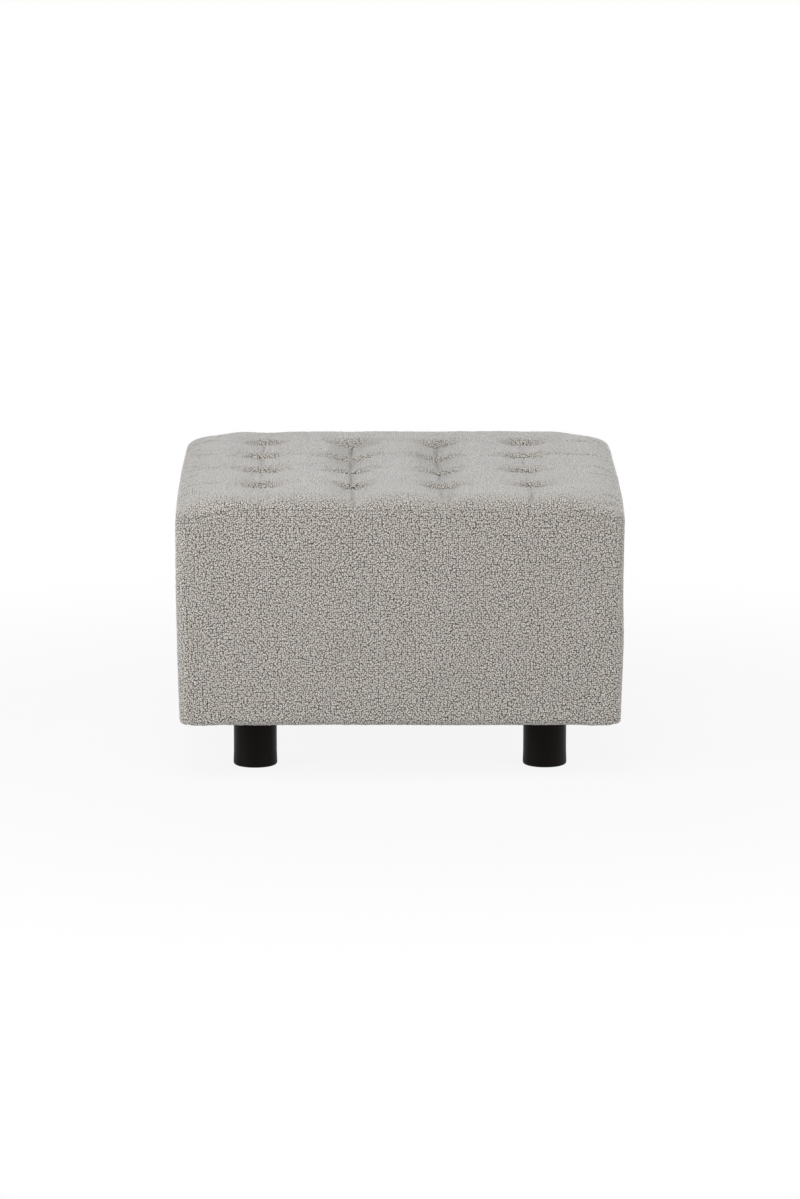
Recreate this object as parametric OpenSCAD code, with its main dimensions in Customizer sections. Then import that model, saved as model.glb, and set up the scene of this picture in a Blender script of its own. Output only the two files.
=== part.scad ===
// Square upholstered pouf with a blind-tufted, crowned top, on four round legs.
// The origin is on the floor under the middle of the seat, up is +Z and the front faces -Y.
// A wooden box carries the foam, five sewn cloth panels wrap it, and sixteen twines pull
// the top down to toggles under the deck.

/* [Body] */
// Width of the upholstered body, at the middle of its sides
body_w = 600; // [520:5:760]
// Depth of the upholstered body, at the middle of its front and back
body_d = 600; // [520:5:760]
// Height of the upholstered sides, from the underside to the top seam
side_h = 290; // [240:1:360]
// Radius of the upright corners
corner_r = 14; // [10:1:24]
// How far the corners are drawn in from the middle of the sides
corner_in = 2; // [0:0.5:5]
// How far the sides are drawn in at the underside
bottom_in = 4.5; // [0:0.5:8]
// How far the sewn top seam is drawn in
seam_in = 1.2; // [0:0.2:3]
// Radius of the turn at the lower edge
bottom_r = 7; // [5:0.5:12]
// Depth below the top seam at which the sides are widest
widest_below = 50; // [30:5:90]

/* [Tufted top] */
// Rise of the crowned top above the seam
crown_h = 19; // [14:1:34]
// Width of the roll round the edge of the top
roll_w = 42; // [30:1:80]
// Fullness of the roll, from a round 2 to a square 4
roll_full = 2.1; // [2:0.1:4]
// Drop of the seam at the corners
seam_drop = 9.5; // [0:0.5:16]
// Length over which the seam drops to a corner
drop_w = 85; // [50:5:120]
// Tufts from side to side
tufts_x = 4; // [2:1:5]
// Tufts from front to back
tufts_y = 4; // [2:1:5]
// Spacing of the tufts from side to side
pitch_x = 120; // [80:1:120]
// Spacing of the tufts from front to back
pitch_y = 120; // [80:1:120]
// Depth of a tuft below the crown
tuft_depth = 22; // [6:1:24]
// Radius of the dimple round a tuft
tuft_r = 50; // [30:1:60]
// Depth of the creases that run from front to back through the tufts
crease_front = 6; // [0:0.5:10]
// Depth of the creases that run from side to side through the tufts
crease_side = 1; // [0:0.5:6]
// Half the width of a crease
crease_w = 24; // [10:1:40]

/* [Cloth and padding] */
// Thickness of the looped cover cloth
cloth_t = 2.5; // [1.5:0.1:3]
// Width of the hem that is turned under the body
hem_w = 45; // [30:1:60]
// Thickness of the black lining under the body
lining_t = 0.5; // [0.3:0.1:1]
// How far the lining laps over the hem
lining_lap = 25; // [10:1:30]
// Thickness of the foam on the sides
side_pad_t = 15.5; // [12:0.5:25]
// Thickness of the foam slab on the deck
slab_t = 45; // [30:1:60]
// Height of the upright edge of the soft top pad, below the seam at the corners
pad_lip = 5; // [4:0.5:12]
// Gap between a soft layer and the next one
layer_gap = 0.3; // [0.2:0.1:0.5]

/* [Wooden box] */
// Thickness of the four side boards
board_t = 12; // [9:1:18]
// Thickness of the deck
deck_t = 12; // [9:1:18]
// Side of the square corner posts
post_w = 38; // [30:1:45]
// Side of the corner plates that take the legs
plate_w = 150; // [140:1:170]
// Cut across the inner corner of a corner plate
plate_cut = 50; // [20:1:60]
// Thickness of the corner plates and lower rails
plate_t = 18; // [15:1:22]
// Width of the lower rails
rail_w = 45; // [30:1:60]
// Thickness of the brace under the deck
brace_t = 20; // [15:1:30]
// Height of the brace under the deck
brace_h = 40; // [30:1:60]

/* [Legs] */
// Height of the legs, floor to body
leg_h = 73; // [50:1:120]
// Diameter of a leg at the foot
leg_d = 59; // [50:1:64]
// How much the leg narrows from its foot to its shaft, on the diameter
leg_flare = 1; // [0:0.2:3]
// Height over which the foot widens
flare_h = 22; // [10:1:30]
// Radius of the lower edge of a leg
leg_edge_r = 3; // [1:0.5:5]
// Distance from the side of the body to the axis of a leg
leg_inset = 105; // [85:1:115]
// Wall of the moulded leg
leg_wall = 3.5; // [2.5:0.5:5]
// Thickness of the top of the moulded leg
leg_top_t = 6; // [4:0.5:8]
// Diameter of the boss that holds the bolt
boss_d = 22; // [20:1:26]
// Length of the boss below the top of the leg
boss_h = 18; // [14:1:24]
// Ribs inside a leg
ribs = 6; // [3:1:8]
// Thickness of a rib
rib_t = 2.2; // [1.5:0.1:3]
// Height of a rib
rib_h = 32; // [20:1:40]
// Height that the felt glide stands proud of the leg
glide_proud = 1.2; // [1:0.1:2]
// Thickness of the felt glide
glide_t = 3; // [2.5:0.1:4]
// Diameter of the felt glide
glide_d = 40; // [30:1:42]
// Thickness of the floor of the end cap
cap_t = 4; // [3.5:0.1:6]
// Height of the collar of the end cap
cap_h = 12; // [8:1:14]

/* [Hardware] */
// Diameter of the leg bolt
bolt_d = 8; // [6:1:8]
// Length of the bolt above the top of the leg
bolt_reach = 28; // [24:1:32]
// Width across the flats of the bolt head
bolt_head_w = 13; // [10:1:13]
// Height of the bolt head
bolt_head_h = 5.3; // [4:0.1:6]
// Outer diameter of the barrel of the tee nut
nut_d = 10; // [9.5:0.1:12]
// Length of the barrel of the tee nut
nut_h = 11; // [8:1:14]
// Diameter of the flange of the tee nut
nut_flange_d = 24; // [20:1:28]
// Thickness of the flange of the tee nut
nut_flange_t = 1.5; // [1:0.1:2]
// Diameter of the spacer between a leg and its plate
spacer_d = 50; // [40:1:54]
// Diameter of the wood screws
screw_d = 4; // [3.5:0.1:5]
// Length of the wood screws
screw_h = 40; // [30:1:45]
// Diameter of the screw heads
screw_head_d = 8; // [7:0.5:9]
// Distance of the front and back screws from the ends of a post
screw_end_front = 40; // [30:1:45]
// Distance of the side screws from the ends of a post, so that they pass the others
screw_end_side = 60; // [55:1:80]
// Diameter of the disc under the cloth of a tuft
disc_d = 14; // [10:1:18]
// Thickness of a tuft disc
disc_t = 2.4; // [2:0.1:3]
// Diameter of the toggle under the deck
toggle_d = 24; // [18:1:30]
// Thickness of a toggle
toggle_t = 3; // [2:0.1:4]
// Diameter of the tufting twine
twine_d = 2; // [1.5:0.1:2.5]
// Gap round a bolt, screw or twine in its hole
hole_gap = 0.3; // [0.2:0.1:0.5]
// Gap between a bolt or screw and its thread
thread_gap = 0.05; // [0.05:0.01:0.1]

/* [Hidden] */

cloth_colour = [0.70, 0.67, 0.63];
lining_colour = [0.07, 0.07, 0.07];
foam_colour = [0.93, 0.90, 0.80];
fibre_colour = [0.96, 0.96, 0.95];
ply_colour = [0.80, 0.66, 0.46];
pine_colour = [0.87, 0.74, 0.52];
leg_colour = [0.06, 0.055, 0.05];
steel_colour = [0.72, 0.73, 0.74];
twine_colour = [0.90, 0.88, 0.80];
nylon_colour = [0.15, 0.15, 0.15];
felt_colour = [0.30, 0.29, 0.28];

round_fn = 64;
small_fn = 24;
overcut = 1;

half_w = body_w / 2;
half_d = body_d / 2;
under_z = leg_h + lining_t;
frame_z = under_z + cloth_t;
seam_z = under_z + side_h;
widest_z = seam_z - widest_below;
pad_z = seam_z - seam_drop - pad_lip;
deck_top_z = pad_z - slab_t;
deck_z = deck_top_z - deck_t;
board_h = deck_z - frame_z;
soft_gap = cloth_t + layer_gap;

// The box stands inside the side foam, and its inner faces lie behind the boards.
frame_w = half_w - cloth_t - side_pad_t;
frame_d = half_d - cloth_t - side_pad_t;
inner_w = frame_w - board_t;
inner_d = frame_d - board_t;
post_x = inner_w - post_w / 2;
post_y = inner_d - post_w / 2;
leg_x = half_w - leg_inset;
leg_y = half_d - leg_inset;

// Where the tufts lie, from the middle of the top
tuft_xs = [for (i = [0 : tufts_x - 1]) (i - (tufts_x - 1) / 2) * pitch_x];
tuft_ys = [for (i = [0 : tufts_y - 1]) (i - (tufts_y - 1) / 2) * pitch_y];

// The form of the soft pieces

// Smooth step from 0 to 1 while t goes from 0 to 1
function ease(t) = let (u = min(max(t, 0), 1)) u * u * (3 - 2 * u);

// Share of the crown that the edge roll has reached at a distance in from the edge:
// a quarter of a superellipse
function roll(inset) =
    let (t = min(max(inset, 0) / roll_w, 1))
    pow(1 - pow(1 - t, roll_full), 1 / roll_full);

// How near a place is to a corner along one side, 0 along the middle and 1 at the corner
function near_corner(place, half) = ease((abs(place) - half + drop_w) / (drop_w - corner_r));

// Drop of the seam, and of the top beside it, towards the corners
function corner_drop(x, y) = seam_drop * near_corner(x, half_w) * near_corner(y, half_d);

// How far the sides are drawn in at a height
function pull(z) = z > widest_z
    ? seam_in * pow((z - widest_z) / widest_below, 4)
    : bottom_in * pow(min((widest_z - z) / (widest_z - under_z - bottom_r), 1), 2);

// A point of the square plan, moved so that the corners become round
function rounded(x, y) =
    let (cx = half_w - corner_r, cy = half_d - corner_r)
    let (ax = abs(x) - cx, ay = abs(y) - cy)
    let (k = ax > 0 && ay > 0 ? max(ax, ay) / norm([ax, ay]) : 1)
    ax > 0 && ay > 0 ? [sign(x) * (cx + k * ax), sign(y) * (cy + k * ay)] : [x, y];

// The same point drawn in from the outline by a distance, and more towards the corners
function drawn(x, y, inset) =
    let (p = rounded(x, y))
    [p.x * (1 - (inset + corner_in * pow(p.y / half_d, 2)) / half_w),
     p.y * (1 - (inset + corner_in * pow(p.x / half_w, 2)) / half_d)];

// Depth of the dimple of the nearest tuft, which steepens towards its middle
tuft_power = 2.4;
function dimple(x, y) = max([
    for (tx = tuft_xs, ty = tuft_ys)
        tuft_depth * pow(max(0, 1 - norm([x - tx, y - ty]) / tuft_r), tuft_power)
]);

// Depth of the creases through the rows and columns of tufts
function crease(x, y) =
    crease_front * max([for (tx = tuft_xs) max(0, 1 - abs(x - tx) / crease_w)])
    + crease_side * max([for (ty = tuft_ys) max(0, 1 - abs(y - ty) / crease_w)]);

// Height of the outside of the top: the seam, plus the crown, less dimples and creases
function top_z(x, y) =
    seam_z - corner_drop(x, y)
    + roll(half_w - abs(x)) * roll(half_d - abs(y))
    * (crown_h - max(dimple(x, y), crease(x, y)));

// A point of the top, or of a layer that lies a gap inside it
function top_point(x, y, gap) =
    let (p = drawn(x, y, gap + pull(seam_z - corner_drop(x, y))))
    [p.x, p.y, top_z(x, y) - gap];

// The lines of the grid run close together round the edge, through each tuft, and in
// quarters of a pitch between the tufts.
edge_steps = [0, 0.1, 0.4, 1];
mid_steps = [0.24, 0.62];
function rim_lines(half, last_tuft) = concat(
    [for (s = edge_steps) half - s * corner_r],
    [for (s = mid_steps) half - corner_r - s * (half - corner_r - last_tuft)]
);
function with_rims(rim, middle) = concat(
    [for (p = rim) -p],
    middle,
    [for (i = [len(rim) - 1 : -1 : 0]) rim[i]]
);
function last(list) = list[len(list) - 1];
function grid_lines(half, tufts, pitch) = with_rims(
    rim_lines(half, last(tufts)),
    [for (i = [0 : 4 * (len(tufts) - 1)]) tufts[0] + i * pitch / 4]
);
lines_x = grid_lines(half_w, tuft_xs, pitch_x);
lines_y = grid_lines(half_d, tuft_ys, pitch_y);

// The side panels keep the lines near their corners, and five in the middle
function side_lines(half, last_tuft) = with_rims(
    rim_lines(half, last_tuft),
    [for (s = [-1 : 0.5 : 1]) s * last_tuft]
);
side_x = side_lines(half_w, last(tuft_xs));
side_y = side_lines(half_d, last(tuft_ys));

// Rows of a side, from the seam down, as shares of its height above the turn
side_rows = [1, 0.92, 0.8, 0.55, 0.27, 0];
turn_angles = [30, 60, 90];

function flat(rows) = [for (row = rows, p = row) p];

// Two triangles for each cell of a grid whose first point is the one numbered first.
// Their diagonals alternate, so that they run alike on all sides of a tuft.
function grid_faces(rows, cols, first, flip) = [
    for (r = [0 : rows - 2], c = [0 : cols - 2], half = [0, 1])
        let (a = first + r * cols + c, b = a + 1, d = a + cols, e = d + 1)
        let (even = (r + c) % 2 == 0)
        let (tri = even ? (half == 0 ? [a, b, e] : [a, e, d]) : (half == 0 ? [a, b, d] : [b, e, d]))
        flip ? [tri[0], tri[2], tri[1]] : tri
];

// The numbers of the points round the rim of a grid, in order
function rim_loop(rows, cols, first) = concat(
    [for (c = [0 : cols - 2]) first + c],
    [for (r = [0 : rows - 2]) first + r * cols + cols - 1],
    [for (c = [cols - 1 : -1 : 1]) first + (rows - 1) * cols + c],
    [for (r = [rows - 1 : -1 : 1]) first + r * cols]
);

// Triangles between two loops of as many points
function strip_faces(loop_a, loop_b) = [
    for (i = [0 : len(loop_a) - 1], half = [0, 1])
        let (j = (i + 1) % len(loop_a))
        half == 0 ? [loop_a[i], loop_b[i], loop_b[j]] : [loop_a[i], loop_b[j], loop_a[j]]
];

// A closed solid between two grids of points of the same size
module between(outer, inner) {
    rows = len(outer);
    cols = len(outer[0]);
    count = rows * cols;
    polyhedron(
        points = concat(flat(outer), flat(inner)),
        faces = concat(
            grid_faces(rows, cols, 0, false),
            grid_faces(rows, cols, count, true),
            strip_faces(rim_loop(rows, cols, 0), rim_loop(rows, cols, count))
        )
    );
}

// Cloth panels

// The sewn top: an outer and an inner sheet that meet at the seam
module top_cover() {
    function sheet(gap) = [
        for (y = lines_y) [
            for (x = lines_x)
                let (p = top_point(x, y, gap))
                let (on_seam = abs(x) == half_w || abs(y) == half_d)
                [p.x, p.y, on_seam ? top_z(x, y) : p.z]
        ]
    ];
    color(cloth_colour) between(sheet(cloth_t), sheet(0));
}

// Profile of a side panel at a depth t into the cloth, as distance in and height:
// down the side, round the lower edge and along the hem
function side_profile(t, top) = concat(
    [for (f = side_rows) let (z = under_z + bottom_r + f * (top - under_z - bottom_r)) [pull(z) + t, z]],
    [for (a = turn_angles) [
        bottom_in + bottom_r - (bottom_r - t) * cos(a),
        under_z + bottom_r - (bottom_r - t) * sin(a)
    ]],
    [[hem_w, under_z + t]]
);

// One side panel: side is -1 or 1, and along_x tells front and back from left and right
module side_cover(along_x, side) {
    places = along_x ? side_x : side_y;
    rows = len(side_rows) + len(turn_angles) + 1;
    function point(place, row, t) =
        let (x = along_x ? place : side * half_w, y = along_x ? side * half_d : place)
        let (at = side_profile(t, seam_z - corner_drop(x, y))[row])
        let (p = drawn(x, y, at[0]))
        [p.x, p.y, at[1]];
    function sheet(t) = [for (row = [0 : rows - 1]) [for (place = places) point(place, row, t)]];
    turned = along_x == (side < 0);
    color(cloth_colour) between(sheet(turned ? 0 : cloth_t), sheet(turned ? cloth_t : 0));
}

module front_cover() {
    side_cover(true, -1);
}

module back_cover() {
    side_cover(true, 1);
}

module left_cover() {
    side_cover(false, -1);
}

module right_cover() {
    side_cover(false, 1);
}

// The black lining closes the underside and laps over the hem
module bottom_lining() {
    w = half_w - hem_w + lining_lap;
    d = half_d - hem_w + lining_lap;
    color(lining_colour) difference() {
        translate([-w, -d, leg_h]) cube([2 * w, 2 * d, lining_t]);
        at_legs() translate([0, 0, leg_h - overcut])
            cylinder(d = bolt_d + 2 * hole_gap, h = lining_t + 2 * overcut, $fn = round_fn);
    }
}

// Padding

// The soft top pad fills the crown: its upper sheet follows the cloth, its foot is flat
module top_pad() {
    cols = len(lines_x);
    rows = len(lines_y);
    upper = [for (y = lines_y) [for (x = lines_x) top_point(x, y, soft_gap)]];
    rim = rim_loop(rows, cols, 0);
    points = flat(upper);
    foot = [for (i = rim) [points[i].x, points[i].y, pad_z]];
    count = len(points);
    loop = [for (i = [0 : len(rim) - 1]) count + i];
    centre = count + len(rim);
    color(fibre_colour) difference() {
        polyhedron(
            points = concat(points, foot, [[0, 0, pad_z]]),
            faces = concat(
                grid_faces(rows, cols, 0, true),
                [for (f = strip_faces(rim, loop)) [f[0], f[2], f[1]]],
                [for (i = [0 : len(rim) - 1]) [loop[i], loop[(i + 1) % len(rim)], centre]]
            )
        );
        at_tufts() {
            translate([0, 0, disc_z(tuft_xs[0], tuft_ys[0])])
                cylinder(d = disc_d + 2 * hole_gap, h = crown_h, $fn = round_fn);
            translate([0, 0, pad_z - overcut]) cylinder(d = twine_d + 2 * hole_gap, h = side_h, $fn = small_fn);
        }
    }
}

module foam_slab() {
    color(foam_colour) difference() {
        translate([-frame_w, -frame_d, deck_top_z]) cube([2 * frame_w, 2 * frame_d, slab_t]);
        twine_holes(deck_top_z, slab_t);
    }
}

// A side pad: its outer sheet follows the cloth and its inner face lies flat on the box
module side_pad(along_x, side) {
    places = along_x ? side_x : side_y;
    foot_z = frame_z + layer_gap;
    rows = [for (f = side_rows) foot_z + f * (pad_z - foot_z)];
    foot_turn = bottom_r - soft_gap;
    heights = concat([for (i = [0 : len(rows) - 2]) rows[i]], [foot_z + foot_turn, foot_z]);
    function outer(place, z) =
        let (x = along_x ? place : side * half_w, y = along_x ? side * half_d : place)
        let (p = drawn(x, y, pull(z) + soft_gap + (z == foot_z ? foot_turn : 0)))
        [p.x, p.y, z];
    function inner(place, z) = along_x
        ? [place * frame_w / half_w, side * frame_d, z]
        : [side * frame_w, place * frame_d / half_d, z];
    out_sheet = [for (z = heights) [for (place = places) outer(place, z)]];
    in_sheet = [for (z = heights) [for (place = places) inner(place, z)]];
    turned = along_x == (side < 0);
    color(foam_colour) between(turned ? out_sheet : in_sheet, turned ? in_sheet : out_sheet);
}

module front_pad() {
    side_pad(true, -1);
}

module back_pad() {
    side_pad(true, 1);
}

module left_pad() {
    side_pad(false, -1);
}

module right_pad() {
    side_pad(false, 1);
}

// Tufting

// Height of the underside of the disc that a tuft is sewn to
function disc_z(x, y) = top_z(x, y) - soft_gap - disc_t;

module at_tufts() {
    for (x = tuft_xs, y = tuft_ys) translate([x, y, 0]) children();
}

module twine_holes(z, h) {
    at_tufts() translate([0, 0, z - overcut])
        cylinder(d = twine_d + 2 * hole_gap, h = h + 2 * overcut, $fn = small_fn);
}

module ring(outer_d, inner_d, h) {
    difference() {
        cylinder(d = outer_d, h = h, $fn = round_fn);
        translate([0, 0, -overcut]) cylinder(d = inner_d, h = h + 2 * overcut, $fn = small_fn);
    }
}

module tuft_discs() {
    color(nylon_colour) at_tufts() translate([0, 0, disc_z(tuft_xs[0], tuft_ys[0])])
        ring(disc_d, twine_d + 2 * thread_gap, disc_t);
}

// A twine runs from its disc through pad, slab and deck to a knot below the toggle
module tuft_twines() {
    low = deck_z - toggle_t;
    high = disc_z(tuft_xs[0], tuft_ys[0]) + disc_t;
    knot_d = 2.4 * twine_d;
    color(twine_colour) at_tufts() {
        translate([0, 0, low - twine_d]) cylinder(d = twine_d, h = high - low + twine_d, $fn = small_fn);
        translate([0, 0, low - knot_d / 2]) sphere(d = knot_d, $fn = small_fn);
    }
}

module tuft_toggles() {
    color(nylon_colour) at_tufts() translate([0, 0, deck_z - toggle_t])
        ring(toggle_d, twine_d + 2 * thread_gap, toggle_t);
}

// Wooden box

module deck() {
    color(ply_colour) difference() {
        translate([-frame_w, -frame_d, deck_z]) cube([2 * frame_w, 2 * frame_d, deck_t]);
        twine_holes(deck_z, deck_t);
        deck_screw_places() screw(hole_gap);
    }
}

module deck_brace() {
    color(pine_colour) translate([-brace_t / 2, -inner_d, deck_z - brace_h])
        cube([brace_t, 2 * inner_d, brace_h]);
}

// Boards: front and back run the full width, left and right fit between them
module cross_board(side) {
    color(ply_colour) difference() {
        translate([-frame_w, side < 0 ? -frame_d : inner_d, frame_z])
            cube([2 * frame_w, board_t, board_h]);
        board_screw_places() screw(hole_gap);
    }
}

module end_board(side) {
    color(ply_colour) difference() {
        translate([side < 0 ? -frame_w : inner_w, -inner_d, frame_z])
            cube([board_t, 2 * inner_d, board_h]);
        board_screw_places() screw(hole_gap);
    }
}

module front_board() {
    cross_board(-1);
}

module back_board() {
    cross_board(1);
}

module left_board() {
    end_board(-1);
}

module right_board() {
    end_board(1);
}

module post(sx, sy) {
    color(pine_colour) difference() {
        translate([sx * post_x - post_w / 2, sy * post_y - post_w / 2, frame_z])
            cube([post_w, post_w, board_h]);
        board_screw_places() screw(thread_gap);
        deck_screw_places() screw(thread_gap);
    }
}

module post_front_left() {
    post(-1, -1);
}

module post_front_right() {
    post(1, -1);
}

module post_back_left() {
    post(-1, 1);
}

module post_back_right() {
    post(1, 1);
}

// A corner plate fits round its post, and its inner corner is cut off
module plate(sx, sy) {
    in_x = inner_w - plate_w;
    in_y = inner_d - plate_w;
    color(ply_colour) difference() {
        translate([0, 0, frame_z]) in_corner(sx, sy) linear_extrude(plate_t) polygon([
            [inner_w, in_y],
            [inner_w, inner_d - post_w],
            [inner_w - post_w, inner_d - post_w],
            [inner_w - post_w, inner_d],
            [in_x, inner_d],
            [in_x, in_y + plate_cut],
            [in_x + plate_cut, in_y]
        ]);
        at_legs() {
            translate([0, 0, frame_z + plate_t - nut_h])
                cylinder(d = nut_d, h = nut_h + overcut, $fn = round_fn);
            translate([0, 0, frame_z - overcut])
                cylinder(d = bolt_d + 2 * hole_gap, h = plate_t + overcut, $fn = round_fn);
        }
    }
}

// Mirrors a shape into the corner whose signs are given
module in_corner(sx, sy) {
    mirror([sx < 0 ? 1 : 0, 0, 0]) mirror([0, sy < 0 ? 1 : 0, 0]) children();
}

module plate_front_left() {
    plate(-1, -1);
}

module plate_front_right() {
    plate(1, -1);
}

module plate_back_left() {
    plate(-1, 1);
}

module plate_back_right() {
    plate(1, 1);
}

// Lower rails close the box between the corner plates
module cross_rail(side) {
    w = inner_w - plate_w;
    color(pine_colour) translate([-w, side < 0 ? -inner_d : inner_d - rail_w, frame_z])
        cube([2 * w, rail_w, plate_t]);
}

module end_rail(side) {
    d = inner_d - plate_w;
    color(pine_colour) translate([side < 0 ? -inner_w : inner_w - rail_w, -d, frame_z])
        cube([rail_w, 2 * d, plate_t]);
}

module front_rail() {
    cross_rail(-1);
}

module back_rail() {
    cross_rail(1);
}

module left_rail() {
    end_rail(-1);
}

module right_rail() {
    end_rail(1);
}

// Screws

// A countersunk wood screw that points down from the origin, or the hole for it
module screw(gap) {
    r = screw_d / 2 + gap;
    head_r = screw_head_d / 2 + gap;
    head_h = head_r - r;
    top = gap > 0 ? overcut : 0;
    rotate_extrude($fn = 32) polygon([
        [0, top],
        [head_r, top],
        [head_r, 0],
        [r, -head_h],
        [r, gap - screw_h + screw_d],
        [0, -screw_h - gap]
    ]);
}

module deck_screw_places() {
    for (sx = [-1, 1], sy = [-1, 1]) translate([sx * post_x, sy * post_y, deck_top_z]) children();
}

module board_screw_places() {
    for (sx = [-1, 1], sy = [-1, 1]) {
        for (z = [frame_z + screw_end_front, deck_z - screw_end_front])
            translate([sx * post_x, sy * frame_d, z]) rotate([-90 * sy, 0, 0]) children();
        for (z = [frame_z + screw_end_side, deck_z - screw_end_side])
            translate([sx * frame_w, sy * post_y, z]) rotate([0, 90 * sx, 0]) children();
    }
}

module deck_screws() {
    color(steel_colour) deck_screw_places() screw(0);
}

module board_screws() {
    color(steel_colour) board_screw_places() screw(0);
}

// Legs

module at_legs() {
    for (sx = [-1, 1], sy = [-1, 1]) translate([sx * leg_x, sy * leg_y, 0]) children();
}

// A moulded leg: a tube that widens a little at the foot, with a ribbed boss for the bolt
module leg_body() {
    foot_r = leg_d / 2;
    shaft_r = foot_r - leg_flare / 2;
    bore_r = shaft_r - leg_wall;
    foot_z = glide_proud;
    edge = [for (a = [0 : 15 : 90]) [
        foot_r - leg_edge_r * (1 - sin(a)),
        foot_z + leg_edge_r * (1 - cos(a))
    ]];
    flare = [for (i = [1 : 8]) [
        foot_r - leg_flare / 2 * ease(i / 8),
        foot_z + leg_edge_r + (flare_h - leg_edge_r) * i / 8
    ]];
    roof_z = leg_h - leg_top_t;
    boss_z = roof_z - boss_h;
    difference() {
        union() {
            rotate_extrude($fn = round_fn) polygon(concat(
                [[bore_r, foot_z]],
                edge,
                flare,
                [[shaft_r, leg_h], [0, leg_h], [0, boss_z], [boss_d / 2, boss_z], [boss_d / 2, roof_z],
                 [bore_r, roof_z]]
            ));
            for (i = [0 : ribs - 1]) rotate([0, 0, i * 360 / ribs])
                translate([boss_d / 2 - rib_t / 2, -rib_t / 2, roof_z - rib_h])
                cube([bore_r - boss_d / 2 + rib_t, rib_t, rib_h + overcut]);
        }
        translate([0, 0, boss_z - overcut])
            cylinder(d = bolt_d + 2 * hole_gap, h = leg_h, $fn = round_fn);
        translate([0, 0, boss_z - overcut])
            cylinder(d = (bolt_head_w + 2 * hole_gap) / cos(30), h = bolt_head_h + overcut, $fn = 6);
    }
}

module leg(sx, sy) {
    color(leg_colour) translate([sx * leg_x, sy * leg_y, 0]) leg_body();
}

module leg_front_left() {
    leg(-1, -1);
}

module leg_front_right() {
    leg(1, -1);
}

module leg_back_left() {
    leg(-1, 1);
}

module leg_back_right() {
    leg(1, 1);
}

// The head of a bolt is let into the boss, and its shank stands up into the tee nut
module leg_bolts() {
    head_z = leg_h - leg_top_t - boss_h;
    color(steel_colour) at_legs() translate([0, 0, head_z]) {
        cylinder(d = bolt_head_w / cos(30), h = bolt_head_h, $fn = 6);
        cylinder(d = bolt_d, h = leg_h + bolt_reach - head_z, $fn = round_fn);
    }
}

module leg_tee_nuts() {
    top = frame_z + plate_t;
    color(steel_colour) at_legs() difference() {
        union() {
            translate([0, 0, top - nut_h]) cylinder(d = nut_d, h = nut_h, $fn = round_fn);
            translate([0, 0, top]) cylinder(d = nut_flange_d, h = nut_flange_t, $fn = round_fn);
        }
        translate([0, 0, top - nut_h - overcut])
            cylinder(d = bolt_d + 2 * thread_gap, h = nut_h + nut_flange_t + 2 * overcut, $fn = round_fn);
    }
}

// A spacer as thick as the cloth keeps the leg square to its plate
module leg_spacers() {
    color(nylon_colour) at_legs() translate([0, 0, under_z])
        ring(spacer_d, bolt_d + 2 * hole_gap, cloth_t);
}

// The end cap plugs the foot of a leg and holds the felt glide in a shallow seat
module leg_end_caps() {
    cap_r = leg_d / 2 - leg_flare / 2 - leg_wall - thread_gap;
    seat_h = glide_t - glide_proud;
    color(nylon_colour) at_legs() translate([0, 0, glide_proud]) rotate_extrude($fn = round_fn) polygon([
        [0, seat_h],
        [glide_d / 2 + hole_gap, seat_h],
        [glide_d / 2 + hole_gap, 0],
        [cap_r, 0],
        [cap_r, cap_h],
        [cap_r - leg_wall / 2, cap_h],
        [cap_r - leg_wall / 2, cap_t],
        [0, cap_t]
    ]);
}

module leg_glides() {
    color(felt_colour) at_legs() cylinder(d = glide_d, h = glide_t, $fn = round_fn);
}

top_cover();
front_cover();
back_cover();
left_cover();
right_cover();
bottom_lining();
top_pad();
foam_slab();
front_pad();
back_pad();
left_pad();
right_pad();
tuft_discs();
tuft_twines();
tuft_toggles();
deck();
deck_brace();
front_board();
back_board();
left_board();
right_board();
post_front_left();
post_front_right();
post_back_left();
post_back_right();
plate_front_left();
plate_front_right();
plate_back_left();
plate_back_right();
front_rail();
back_rail();
left_rail();
right_rail();
deck_screws();
board_screws();
leg_front_left();
leg_front_right();
leg_back_left();
leg_back_right();
leg_bolts();
leg_tee_nuts();
leg_spacers();
leg_end_caps();
leg_glides();
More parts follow.
